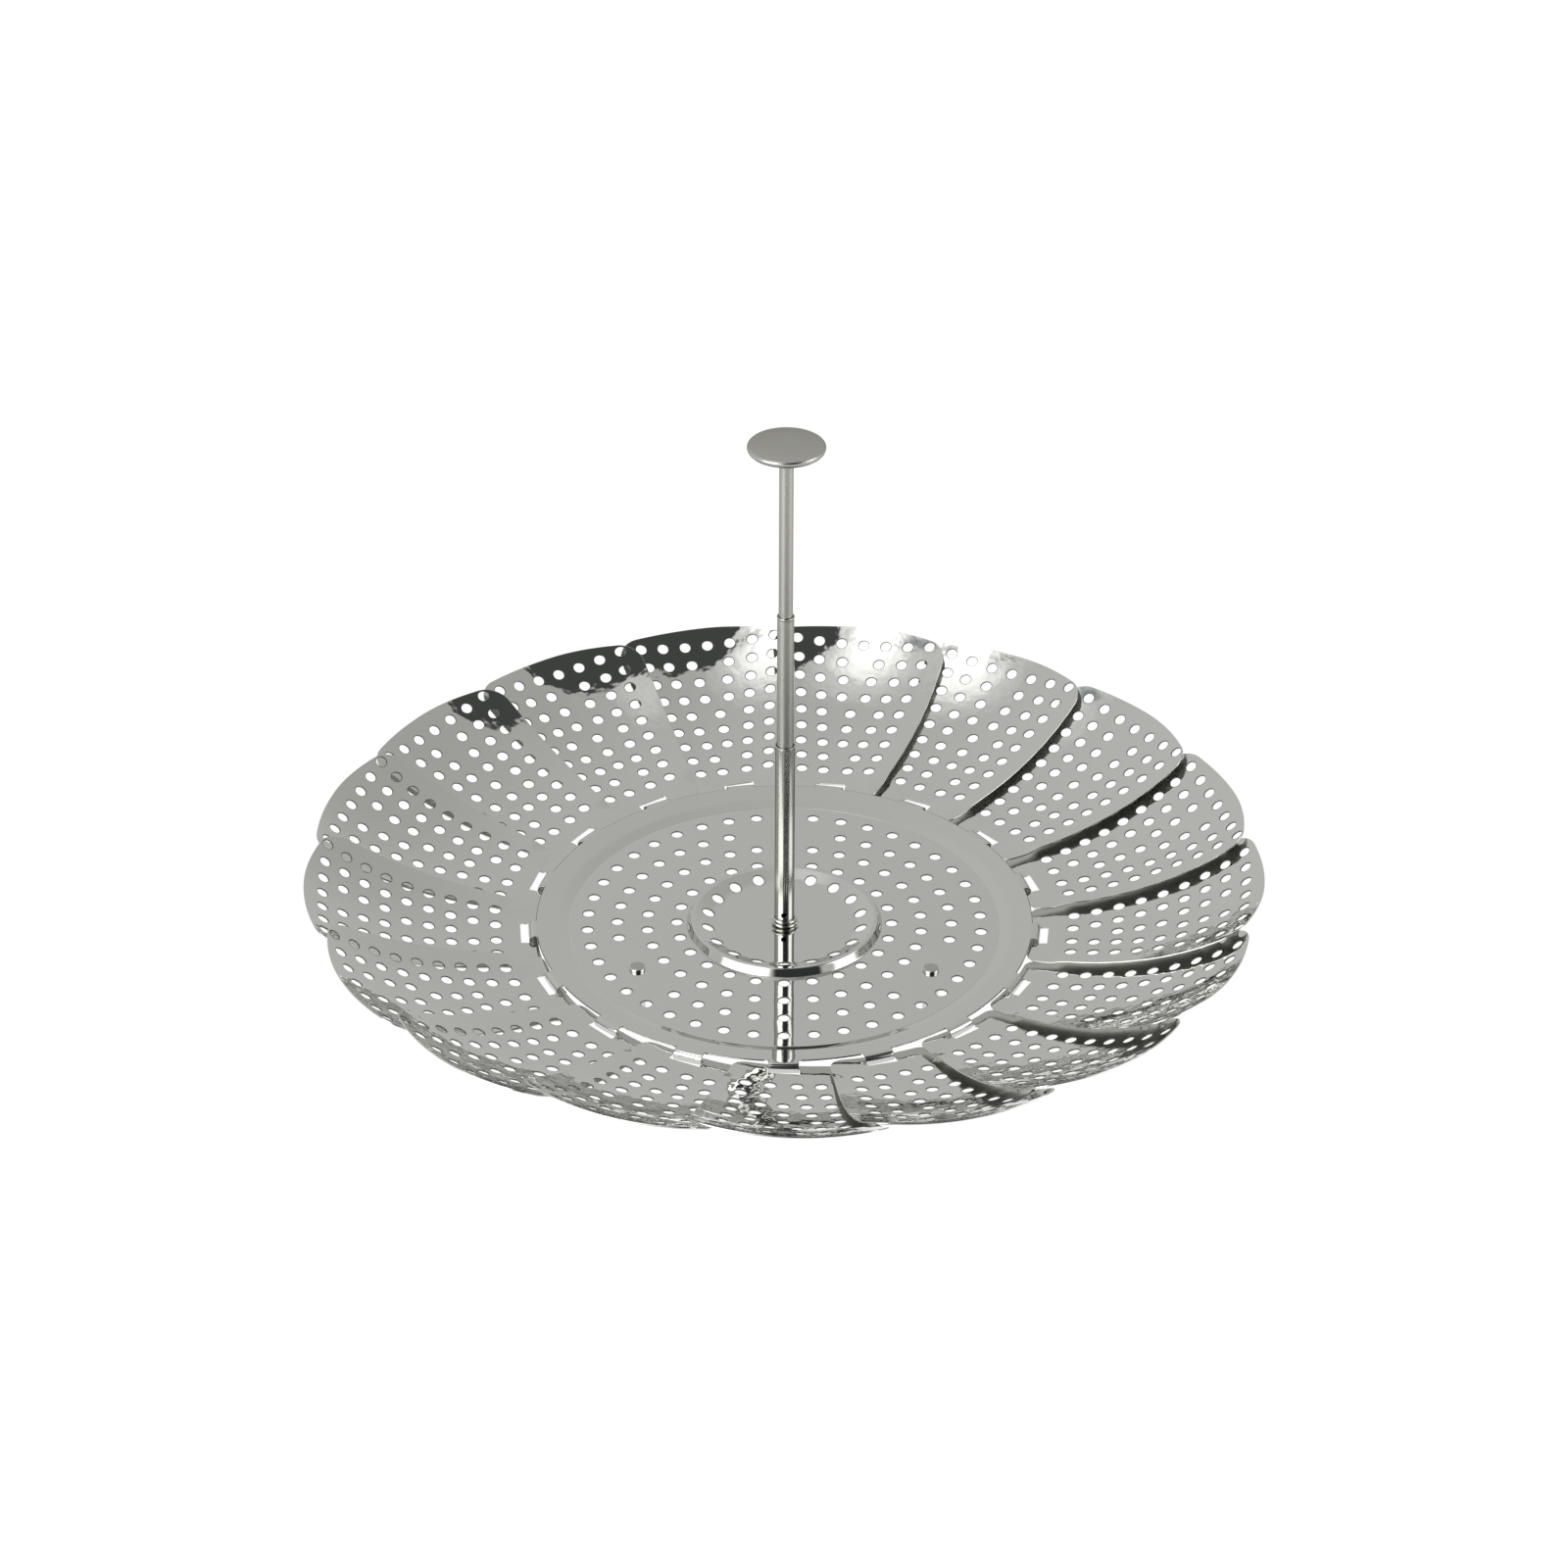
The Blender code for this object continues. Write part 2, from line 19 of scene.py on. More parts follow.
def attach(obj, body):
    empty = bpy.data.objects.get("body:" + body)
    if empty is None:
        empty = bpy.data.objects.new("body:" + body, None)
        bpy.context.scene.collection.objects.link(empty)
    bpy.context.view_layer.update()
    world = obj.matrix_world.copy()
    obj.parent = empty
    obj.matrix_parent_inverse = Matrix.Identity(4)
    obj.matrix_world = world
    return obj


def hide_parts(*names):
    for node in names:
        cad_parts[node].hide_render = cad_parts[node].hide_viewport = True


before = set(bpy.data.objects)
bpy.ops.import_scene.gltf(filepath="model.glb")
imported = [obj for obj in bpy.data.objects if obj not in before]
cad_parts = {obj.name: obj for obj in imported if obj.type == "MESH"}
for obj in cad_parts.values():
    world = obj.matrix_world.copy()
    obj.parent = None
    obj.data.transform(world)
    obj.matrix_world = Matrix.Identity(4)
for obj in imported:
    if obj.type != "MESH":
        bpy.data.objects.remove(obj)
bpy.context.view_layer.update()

# %% [markdown]
# ## The camera
#
# The photograph was taken from about 34 degrees above the table with a long lens, 1.34 m away. A long
# lens keeps the far petals nearly as large as the near ones. The basket stands a little below the middle
# of the picture, which is a vertical shift of the lens and not a tilt, so the post stays upright.

# %% Camera
MM = 0.001
PLATE_TOP = 16.5 * MM
CAMERA_DISTANCE = 1338.1 * MM
CAMERA_ELEVATION = math.radians(33.65)
CAMERA_ROLL = 0.0048
SENSOR = 36.0
IMAGE_WIDTH = 1600
FOCAL_PIXELS = 4655
PLATE_CENTRE_PIXEL = (800.3, 941.3)

lens = bpy.data.cameras.new("camera")
lens.sensor_width = SENSOR
lens.lens = FOCAL_PIXELS / IMAGE_WIDTH * SENSOR
lens.shift_x = (IMAGE_WIDTH / 2 - PLATE_CENTRE_PIXEL[0]) / IMAGE_WIDTH
lens.shift_y = (PLATE_CENTRE_PIXEL[1] - IMAGE_WIDTH / 2) / IMAGE_WIDTH
camera = bpy.data.objects.new("camera", lens)
back = Vector((0, -math.cos(CAMERA_ELEVATION), math.sin(CAMERA_ELEVATION)))
turn = (-back).to_track_quat("-Z", "Y").to_matrix().to_4x4()
place = Matrix.Translation(Vector((0, 0, PLATE_TOP)) + back * CAMERA_DISTANCE)
camera.matrix_world = place @ turn @ Matrix.Rotation(CAMERA_ROLL, 4, "Z")
bpy.context.scene.collection.objects.link(camera)
bpy.context.scene.camera = camera
bpy.context.scene.view_settings.view_transform = "Standard"
print("lens, mm:", round(lens.lens, 1))

# %% [markdown]
# ## Colours and a helper for nodes
#
# Colours are picked as sRGB hex values, as in any paint program, and Blender's shaders want linear
# light, so one function converts them. A second one adds a node, sets its options and links its inputs,
# which keeps each material below to a few readable lines.

# %% Colour and node helpers


def linear(hex_colour):
    """An sRGB hex colour as linear red, green, blue and alpha."""
    parts = [int(hex_colour[place:place + 2], 16) / 255 for place in (1, 3, 5)]
    return tuple(c / 12.92 if c <= 0.04045 else ((c + 0.055) / 1.055) ** 2.4 for c in parts) + (1.0,)


def add_node(tree, kind, inputs=None, **settings):
    """Add a node, set its options, and give each named input a value or a link."""
    node = tree.nodes.new(kind)
    for name, value in settings.items():
        setattr(node, name, value)
    for name, value in (inputs or {}).items():
        socket = node.inputs[name]
        if isinstance(value, bpy.types.NodeSocket):
            tree.links.new(value, socket)
        else:
            socket.default_value = value
    return node


# %% [markdown]
# ## The studio
#
# Polished steel has hardly any colour of its own. What the eye sees is the room: in the photograph a
# pale grey surround that makes the plate and most petals an even grey, a little lighter on the left. Nearly
# overhead hang a lamp with a wide glow and, to its right, something dark; the far petals' tips mirror both.
# White panels stand low on both sides, with a dark gap between them where the photographer is, and draw
# the stripes down the post. The world is painted with these few soft patches, each a round spot on the
# sky given by its turn from the front towards the right, its height over the horizon, the angles from its
# centre where it starts to fade and ends, and a colour with its strength.

# %% Studio world
SURROUND = "#D5D5D4"
PATCHES = (
    (-129, 26, 10, 50, "#DFE0DF", 1.0),
    (108, 43, 5, 50, "#C6C6C4", 1.0),
    (-104, 74, 0, 22, "#FFFFFF", 1.0),
    (-97, 74, 0, 14, "#FFFFFF", 1.7),
    (-85, 56, 5, 11, "#A3AAAC", 1.0),
    (48, 66, 24, 26, "#505352", 1.0),
    (-83, 73, 4, 8, "#FFFFFF", 3.0),
    (78, 30, 15, 22, "#FFFFFF", 2.7),
    (-47, 27, 20, 30, "#FFFFFF", 3.3),
    (16, 29, 22, 28, "#3C3E40", 1.0),
)


def toward(turn, height):
    """The direction at a turn from the front and a height over the horizon, both in degrees."""
    turn, height = math.radians(turn), math.radians(height)
    return Vector((math.sin(turn) * math.cos(height), -math.cos(turn) * math.cos(height), math.sin(height)))


def patch(tree, below, direction, inner, outer, colour, strength):
    """Lay a soft round patch of light or dark over the sky colour so far."""
    where = add_node(tree, "ShaderNodeTexCoord").outputs["Generated"]
    facing = add_node(tree, "ShaderNodeVectorMath", {0: where, 1: direction}, operation="DOT_PRODUCT")
    edge = {"From Min": math.cos(math.radians(outer)), "From Max": math.cos(math.radians(inner))}
    spread = {"Value": facing.outputs["Value"], **edge}
    share = add_node(tree, "ShaderNodeMapRange", spread, interpolation_type="SMOOTHSTEP")
    paint = [channel * strength for channel in linear(colour)[:3]] + [1.0]
    layers = {"Factor": share.outputs["Result"], 6: below, 7: paint}
    return add_node(tree, "ShaderNodeMix", layers, data_type="RGBA").outputs[2]


def make_world():
    world = bpy.data.worlds.new("studio")
    bpy.context.scene.world = world
    world.use_nodes = True
    sky = world.node_tree
    colour = linear(SURROUND)
    for turn, height, inner, outer, paint, strength in PATCHES:
        colour = patch(sky, colour, toward(turn, height), inner, outer, paint, strength)
    sky.links.new(colour, sky.nodes["Background"].inputs["Color"])


make_world()
print("patches on the sky:", len(PATCHES))

# %% [markdown]
# ## The floor
#
# The basket is shown on pure white. The floor's own white comes from a plain white glow that the camera
# and mirror-like surfaces see, and a small share of ordinary matt white keeps a faint contact shadow. It
# is large enough to fill the picture from low viewpoints too.

# %% Floor
PAPER_HALF = 40000 * MM
PAPER_GLOW = 0.93
PAPER_MATT = "#6B6B6B"


def make_floor():
    paper = bpy.data.materials.new("white_paper")
    paper.use_nodes = True
    tree = paper.node_tree
    tree.nodes.clear()
    ray = add_node(tree, "ShaderNodeLightPath").outputs
    straight = {0: ray["Is Camera Ray"], 1: ray["Is Glossy Ray"]}
    seen = add_node(tree, "ShaderNodeMath", straight, operation="ADD")
    through = {0: seen.outputs[0], 1: ray["Is Transmission Ray"]}
    seen = add_node(tree, "ShaderNodeMath", through, operation="ADD", use_clamp=True)
    glow = add_node(tree, "ShaderNodeMath", {0: seen.outputs[0], 1: PAPER_GLOW}, operation="MULTIPLY")
    light = add_node(tree, "ShaderNodeEmission", {"Color": linear("#FFFFFF"), "Strength": glow.outputs[0]})
    matt = add_node(tree, "ShaderNodeBsdfDiffuse", {"Color": linear(PAPER_MATT)})
    both = add_node(tree, "ShaderNodeAddShader", {0: light.outputs[0], 1: matt.outputs[0]})
    add_node(tree, "ShaderNodeOutputMaterial", {"Surface": both.outputs[0]})

    shape = bmesh.new()
    bmesh.ops.create_grid(shape, x_segments=1, y_segments=1, size=PAPER_HALF)
    mesh = bpy.data.meshes.new("floor")
    shape.to_mesh(mesh)
    shape.free()
    mesh.materials.append(paper)
    floor = bpy.data.objects.new("floor", mesh)
    bpy.context.scene.collection.objects.link(floor)
    return floor


make_floor()

# %% [markdown]
# ## Steel finishes
#
# All pieces are the same stainless steel in a few finishes. The sheet is tumble polished: a mirror with a
# very fine haze, and a waviness left by the press, which is stronger in the petals than in the stiff plate.
# Their undersides are hazier. The tubes and the knob were polished on a lathe, round and round, so they
# smear what they mirror up and down: the lower tube a little, and the satin ones so much that they show
# only soft stripes. The edges and walls of punched holes are rougher, and painted darker as shade, which
# draws a thin dark line round each hole. The feet's tops, which a hammer has spread, are less bright too.

# %% Steel materials
STEEL_COLOUR = "#CACAC6"
SATIN_COLOUR = "#BCBBB6"
# Painted shade: a dark steel colour for the rings, edges and walls of holes, drawing a dark line round each.
WALL_SHADE_COLOUR = "#6C6C68"
EDGE_TINT = "#8C8C88"
HAMMERED_COLOUR = "#ADACA8"
WAVE_SIZE = 6.0 * MM
HAZE_SIZE = 25.0 * MM


def steel(name, colour, size, low, high):
    """Bare steel whose roughness drifts between two values; gives back the material and its shader."""
    look = bpy.data.materials.new(name)
    look.use_nodes = True
    tree = look.node_tree
    shader = tree.nodes["Principled BSDF"]
    shader.inputs["Base Color"].default_value = linear(colour)
    shader.inputs["Metallic"].default_value = 1.0
    where = add_node(tree, "ShaderNodeTexCoord").outputs["Object"]
    cloud = add_node(tree, "ShaderNodeTexNoise", {"Vector": where, "Scale": 1 / size, "Detail": 4.0})
    spread = {"Value": cloud.outputs["Fac"], "From Min": 0.3, "From Max": 0.7, "To Min": low, "To Max": high}
    rough = add_node(tree, "ShaderNodeMapRange", spread)
    tree.links.new(rough.outputs["Result"], shader.inputs["Roughness"])
    return look, shader


def wavy(look, shader, height):
    """Add soft waves that bend what the surface mirrors."""
    tree = look.node_tree
    where = add_node(tree, "ShaderNodeTexCoord").outputs["Object"]
    wave = add_node(tree, "ShaderNodeTexNoise", {"Vector": where, "Scale": 1 / WAVE_SIZE, "Detail": 2.0})
    bump = add_node(tree, "ShaderNodeBump", {"Height": wave.outputs["Fac"], "Distance": height})
    tree.links.new(bump.outputs["Normal"], shader.inputs["Normal"])
    return look


def lathe_polished(look, shader, amount):
    """Turn the polishing lines round the Z axis, so that highlights spread up and down."""
    around = add_node(look.node_tree, "ShaderNodeTangent", direction_type="RADIAL", axis="Z")
    look.node_tree.links.new(around.outputs["Tangent"], shader.inputs["Tangent"])
    shader.inputs["Anisotropic"].default_value = amount
    shader.inputs["Anisotropic Rotation"].default_value = 0.25
    shader.inputs["Specular Tint"].default_value = linear(EDGE_TINT)
    return look


plate_steel = wavy(*steel("tumble_polished_plate", STEEL_COLOUR, HAZE_SIZE, 0.015, 0.03), 0.015 * MM)
petal_steel = wavy(*steel("tumble_polished_petal", STEEL_COLOUR, HAZE_SIZE, 0.015, 0.03), 0.14 * MM)
under_steel = steel("tumbled_underside", STEEL_COLOUR, HAZE_SIZE, 0.4, 0.5)[0]
# Darkened steel for punched edges: painted shade round the holes and along the plate's cut edge.
punched = steel("punched_edge_painted_shade", WALL_SHADE_COLOUR, 0.5 * MM, 0.25, 0.35)[0]
bright = steel("polished_peg_and_wire", STEEL_COLOUR, HAZE_SIZE, 0.03, 0.06)[0]
hammered = steel("hammered_rivet_top", HAMMERED_COLOUR, 1.5 * MM, 0.15, 0.3)[0]
tube_steel = lathe_polished(*steel("lathe_polished_tube", STEEL_COLOUR, HAZE_SIZE, 0.12, 0.16), 0.95)
satin = lathe_polished(*steel("satin_stainless_tube", SATIN_COLOUR, 0.35 * MM, 0.27, 0.35), 1.0)
satin_disc = lathe_polished(*steel("satin_stainless_disc", SATIN_COLOUR, 0.35 * MM, 0.25, 0.32), 0.3)
print("finishes:", [look.name for look in bpy.data.materials if look.use_nodes])

# %% [markdown]
# ## Helpers for pieces
#
# Each finished piece is one object at the origin with its place in its mesh, as the CAD nodes are. It
# rides on its body and stands in for its CAD node.

# %% Piece helpers


def add_piece(name, mesh, looks, body, node):
    """Put a finished mesh in the scene as the piece that stands for a CAD node."""
    for look in looks:
        mesh.materials.append(look)
    piece = bpy.data.objects.new(name, mesh)
    bpy.context.scene.collection.objects.link(piece)
    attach(piece, body)
    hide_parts(node)
    return piece


def clockwise(turn):
    """The level direction at a clockwise turn from the back, seen from above."""
    return Vector((math.sin(turn), math.cos(turn), 0))


def sag(distance, radius):
    """How far an arc has fallen away from its tangent at a distance from where they touch."""
    return radius - math.sqrt(radius**2 - distance**2)


# %% [markdown]
# ## Punching a blank
#
# A blank is a flat outline with loops inside it for the holes. A triangle fill closes the sheet between
# the loops, each loop is drawn in by a narrow ring that belongs to its hole, and solidify gives the sheet
# its thickness. A punch pulls the sheet down round each hole, over a longer way than it is deep, so the
# blank is first made too thick, bevelled, and then squeezed to its real thickness. All of this is far
# easier while the sheet is flat. The underside gets the second material, the hazier one, and the ring,
# edge and wall of each hole the third, which is rougher and darker, a painted shade round the hole.

# %% Flat blanks
SHEET = 0.4 * MM
LIP_WIDTH = 0.15 * MM
SQUEEZE = 2.0
LIP_STEPS = 2
HOLE_RADIUS = 1.7 * MM
HOLE_RING = 0.22 * MM
HOLE_SIDES = 16
UNDER_SLOT = 1
# The slot of the darkened steel that paints shade round holes and cut edges.
PAINTED_SHADE_SLOT = 2


def punch(blank, border, places, radius=HOLE_RADIUS, sides=HOLE_SIDES):
    """Fill the sheet inside a border of edges, but for a round hole with its own ring at each place."""
    outer = radius + HOLE_RING
    loops = []
    for x, y in places:
        spot = Matrix.Translation((x, y, 0))
        circle = bmesh.ops.create_circle(blank, segments=sides, radius=outer, matrix=spot)["verts"]
        loops.append((spot, list(dict.fromkeys(edge for corner in circle for edge in corner.link_edges))))
    edges = border + [edge for _, loop in loops for edge in loop]
    bmesh.ops.triangle_fill(blank, use_beauty=True, use_dissolve=False, edges=edges)
    size = Vector((radius / outer, radius / outer, 1))
    for spot, loop in loops:
        drawn = bmesh.ops.extrude_edge_only(blank, edges=loop)["geom"]
        inner = [part for part in drawn if isinstance(part, bmesh.types.BMVert)]
        bmesh.ops.scale(blank, vec=size, space=spot.inverted(), verts=inner)
        # Each hole's ring takes the painted-shade material, a dark line round the hole.
        for part in drawn:
            if isinstance(part, bmesh.types.BMFace):
                part.material_index = PAINTED_SHADE_SLOT


def is_wall(face):
    """Whether a face of the thick flat blank stands upright."""
    return abs(face.normal.z) < 0.5


def thicken(blank, thickness=SHEET, lip=LIP_WIDTH, painted_shade_edge=False):
    """Give a flat sheet its thickness, half on each side, and a rounded lip along all its edges."""
    bmesh.ops.recalc_face_normals(blank, faces=blank.faces)
    if sum(face.normal.z * face.calc_area() for face in blank.faces) < 0:
        bmesh.ops.reverse_faces(blank, faces=blank.faces)
    deep = thickness * SQUEEZE
    bmesh.ops.solidify(blank, geom=list(blank.faces), thickness=deep)
    low = min(corner.co.z for corner in blank.verts)
    bmesh.ops.translate(blank, verts=blank.verts, vec=(0, 0, -deep / 2 - low))
    bmesh.ops.recalc_face_normals(blank, faces=blank.faces)
    rims = [edge for edge in blank.edges if sum(is_wall(face) for face in edge.link_faces) == 1]
    for wall in filter(is_wall, blank.faces):
        flats = [face for edge in wall.edges for face in edge.link_faces if not is_wall(face)]
        wall.material_index = max(face.material_index for face in flats)
    rounded = bmesh.ops.bevel(
        blank, geom=rims, offset=lip, segments=LIP_STEPS, profile=0.5, affect="EDGES", material=-1
    )
    # The rounded lip of a cut edge can take the painted-shade material, for a painted dark line along it.
    if painted_shade_edge:
        for face in rounded["faces"]:
            face.material_index = PAINTED_SHADE_SLOT
    bmesh.ops.scale(blank, vec=(1, 1, 1 / SQUEEZE), verts=blank.verts)
    blank.normal_update()
    for face in blank.faces:
        if face.normal.z < -0.3 and face.material_index == 0:
            face.material_index = UNDER_SLOT


# %% [markdown]
# ## Pressing a blank
#
# The press is a rule that says where each point of the flat sheet ends up. A polished surface shows every
# wrong normal, so the normals aren't left to the pressed triangles: they are read while the blank is still
# flat, and turned with the sheet. On the faces of the flat sheet they point straight up or down, but for
# a slight lean towards the nearest edge, since a punch draws the sheet down with it. Custom normals keep
# all this on the mesh.

# %% The press
PROBE = 0.02 * MM
DRAW_IN = math.radians(3.0)


def sheet_frame(shape, x, y):
    """Place and directions of the pressed sheet at a point of the flat one."""
    here = shape(x, y)
    along = (shape(x + PROBE, y) - here).normalized()
    across = shape(x, y + PROBE) - here
    normal = along.cross(across).normalized()
    return here, along, normal.cross(along), normal


def flat_normal(corner, half):
    """The normal of a corner of the flat blank, exact on the sheet's two faces."""
    if abs(abs(corner.co.z) - half) > half / 100:
        return corner.normal
    lean = Vector((corner.normal.x, corner.normal.y, 0))
    if lean.length > 0.01:
        lean = lean.normalized() * math.tan(DRAW_IN)
    return (lean + Vector((0, 0, math.copysign(1, corner.co.z)))).normalized()


def press(blank, shape, name):
    """Bend a thick flat blank with the rule shape(x, y), and give back its mesh."""
    blank.normal_update()
    half = max(corner.co.z for corner in blank.verts)
    normals = []
    for corner in blank.verts:
        here, along, across, normal = sheet_frame(shape, corner.co.x, corner.co.y)
        flat = flat_normal(corner, half)
        normals.append(along * flat.x + across * flat.y + normal * flat.z)
        corner.co = here + normal * corner.co.z
    bmesh.ops.triangulate(blank, faces=[face for face in blank.faces if len(face.verts) > 4])
    mesh = bpy.data.meshes.new(name)
    blank.to_mesh(mesh)
    blank.free()
    mesh.shade_smooth()
    mesh.normals_split_custom_set_from_vertices(normals)
    return mesh


# %% [markdown]
# ## One petal, flat
#
# The petal's blank widens from the hinge to the tip. Its clockwise side, which lies on top of the next
# petal, is slightly bowed, the tip is an arc, and the inner end follows the plate's rim. Near the hinge
# is the slot that lets the tab through, and 48 holes stand in nine rows, closer together at the hinge.

# %% Petal blank
PETALS = 17
PETAL_LENGTH = 70.4 * MM
PETAL_LIP = 0.8 * MM
UPPER_SIDE = 13.7 * MM
UPPER_SPREAD = 0.2935
UPPER_BOW = 338.0 * MM
LOWER_SIDE = 15.4 * MM
LOWER_SPREAD = 0.2
INNER_CORNER = 3.5 * MM
OUTER_CORNER = 7.0 * MM
CORNER_STEPS = 8
TIP_RADIUS = 97.0 * MM
HINGE_RADIUS = 73.3 * MM
SLOT_HALF_WIDTH = 4.55 * MM
SLOT_END = 4.0 * MM
SLOT_STEPS = 8
FIRST_ROW = 11.2 * MM
ROW_PITCH = 6.61 * MM
HOLE_ROWS = (
    (3.75, 10.5),
    (5.05, 11.85),
    (0, 6.4, 13.2),
    (0, 7.75, 14.3),
    (0, 9.05, 15.5),
    (3.75, 10.35, 16.8),
    (4.45, 11.8, 18.3),
    (5.85, 13.2, 19.6),
    (0, 7.1, 14.2, 21.2),
)


def petal_holes():
    """Hole places in the flat petal: rows from the hinge to the tip, each mirrored about the middle."""
    for row, offsets in enumerate(HOLE_ROWS):
        for offset in offsets:
            for side in (1, -1) if offset else (1,):
                yield FIRST_ROW + row * ROW_PITCH, side * offset * MM


def bow_outline(corner):
    """Move a point of the straight-sided outline onto the real one."""
    along, aside = corner.co.x, corner.co.y
    share = (along + PETAL_LIP) / (PETAL_LENGTH + PETAL_LIP)
    if aside < 0:
        corner.co.y *= 1 - sag(along, UPPER_BOW) / (UPPER_SIDE + UPPER_SPREAD * along)
    corner.co.x -= sag(aside, TIP_RADIUS) * share + sag(aside, HINGE_RADIUS) * (1 - share)


def split_edges(blank, longest, pieces):
    """Cut every edge over a length into this many pieces."""
    edges = [edge for edge in blank.edges if edge.calc_length() > longest]
    bmesh.ops.subdivide_edges(blank, edges=edges, cuts=pieces - 1)


def petal_outline(blank):
    """The petal's outer loop: a rounded quadrangle, cut into short edges and bowed."""
    corners = (
        (-PETAL_LIP, -UPPER_SIDE),
        (PETAL_LENGTH, -UPPER_SIDE - UPPER_SPREAD * PETAL_LENGTH),
        (PETAL_LENGTH, LOWER_SIDE + LOWER_SPREAD * PETAL_LENGTH),
        (-PETAL_LIP, LOWER_SIDE),
    )
    blank.faces.new([blank.verts.new((along, aside, 0)) for along, aside in corners])
    for inner, radius in ((True, INNER_CORNER), (False, OUTER_CORNER)):
        ends = [corner for corner in blank.verts if (corner.co.x < PETAL_LENGTH / 2) == inner]
        bmesh.ops.bevel(
            blank,
            geom=ends,
            offset=radius,
            segments=CORNER_STEPS,
            profile=0.5,
            affect="VERTICES",
            material=-1,
        )
    split_edges(blank, longest=20 * MM, pieces=8)
    split_edges(blank, longest=4 * MM, pieces=3)
    for corner in blank.verts:
        bow_outline(corner)


def petal_blank():
    blank = bmesh.new()
    petal_outline(blank)
    middle = Matrix.Translation(((SLOT_END + PETAL_LIP) / 2, 0, 0))
    size = Matrix.Diagonal((SLOT_END - PETAL_LIP, 2 * SLOT_HALF_WIDTH, 1, 1))
    slot = bmesh.ops.create_grid(blank, x_segments=1, y_segments=1, size=0.5, matrix=middle @ size)["verts"]
    bmesh.ops.delete(blank, geom=blank.faces[:], context="FACES_ONLY")
    sides = dict.fromkeys(edge for corner in slot for edge in corner.link_edges)
    wide = [edge for edge in sides if edge.calc_length() > SLOT_HALF_WIDTH]
    bmesh.ops.subdivide_edges(blank, edges=wide, cuts=SLOT_STEPS - 1)
    punch(blank, blank.edges[:], petal_holes())
    thicken(blank)
    print("petal blank faces:", len(blank.faces))
    return blank


# %% [markdown]
# ## Pressing the petal
#
# Seen from the side the petal leaves its hinge almost level and curls up to 39 degrees at the tip. Seen
# from the tip it is a shallow trough, twisted by a few degrees, most at the hinge, so that its clockwise
# edge rides over its neighbour. The centre line is added up from its slope in short steps, once, and read
# between them.

# %% Petal press
PETAL_FLAT = 4.0 * MM
PETAL_BLEND = 6.0 * MM
BASE_ANGLE = math.radians(5.2)
TIP_ANGLE = math.radians(39)
CURL_SHARE = 0.3
TWIST_BASE = math.radians(3.8)
TWIST_TIP = math.radians(2.8)
TROUGH_BASE = 125.0 * MM
TROUGH_TIP = 95.0 * MM
STEP = 0.5 * MM


def petal_slope(along):
    share = max(along - PETAL_FLAT, 0) / (PETAL_LENGTH - PETAL_FLAT)
    curl = (1 - CURL_SHARE) * share + CURL_SHARE * share**2
    return BASE_ANGLE + (TIP_ANGLE - BASE_ANGLE) * curl


def advance(reach, rise, along, length):
    """Follow the centre line a short way on from a point of it."""
    slope = petal_slope(along + length / 2)
    return reach + length * math.cos(slope), rise + length * math.sin(slope)


def centre_line():
    points = [(0.0, 0.0)]
    while len(points) * STEP < PETAL_LENGTH + 2 * STEP:
        points.append(advance(*points[-1], (len(points) - 1) * STEP, STEP))
    return points


CENTRE_LINE = centre_line()


def petal_shape(along, aside):
    """Where a point of the flat petal ends up; the clockwise side is at negative aside."""
    index = max(int(along / STEP), 0)
    reach, rise = advance(*CENTRE_LINE[index], index * STEP, along - index * STEP)
    share = max(along - PETAL_FLAT, 0) / (PETAL_LENGTH - PETAL_FLAT)
    blend = min(max(along - PETAL_FLAT, 0) / PETAL_BLEND, 1)
    blend = blend * blend * (3 - 2 * blend)
    twist = TWIST_TIP + (TWIST_BASE - TWIST_TIP) * (1 - share)
    bend = 1 / TROUGH_BASE + (1 / TROUGH_TIP - 1 / TROUGH_BASE) * share
    lift = -twist * aside + blend * bend * aside**2 / 2
    slope = petal_slope(along)
    return Vector((reach - math.sin(slope) * lift, aside, rise + math.cos(slope) * lift))


# %% [markdown]
# ## All the petals
#
# The open petals don't hang alike: each rests on its neighbour, so their height rises slowly round the
# basket and falls back within a few petals. One pressed petal is copied to each hinge.

# %% Petals
HINGE_HEIGHT = 16.65 * MM
LOWEST_PETAL = 15
HIGHEST_PETAL = 10
LOWEST_OPENING = math.radians(-3.4)
HIGHEST_OPENING = math.radians(0.8)
PITCH = math.tau / PETALS


def petal_turn(number):
    return (number + 0.5) * PITCH


def petal_opening(number):
    rising = (HIGHEST_PETAL - LOWEST_PETAL) % PETALS
    place = (number + 1 - LOWEST_PETAL) % PETALS
    share = place / rising if place <= rising else (PETALS - place) / (PETALS - rising)
    return LOWEST_OPENING + (HIGHEST_OPENING - LOWEST_OPENING) * share


def make_petals():
    pressed = press(petal_blank(), petal_shape, "petal")
    for number in range(PETALS):
        turn = petal_turn(number)
        name = f"petal_{number + 1:02d}"
        spot = Matrix.Translation(clockwise(turn) * HINGE_RADIUS + Vector((0, 0, HINGE_HEIGHT)))
        outward = Matrix.Rotation(math.radians(90) - turn, 4, "Z")
        hang = Matrix.Rotation(-petal_opening(number), 4, "Y")
        mesh = pressed.copy()
        mesh.transform(spot @ outward @ hang)
        add_piece(f"perforated_{name}", mesh, (petal_steel, under_steel, punched), name, name)
    print("petals:", PETALS, "of", len(pressed.vertices), "corners each")


make_petals()

# %% [markdown]
# ## The plate, flat
#
# The plate is one blank as well. Loops at the radii where the press will bend it are spun round first;
# the two bands that carry holes are filled like the petals. From its rim a tab for each petal is drawn
# out with extrude, row by row, so that it can curl smoothly.

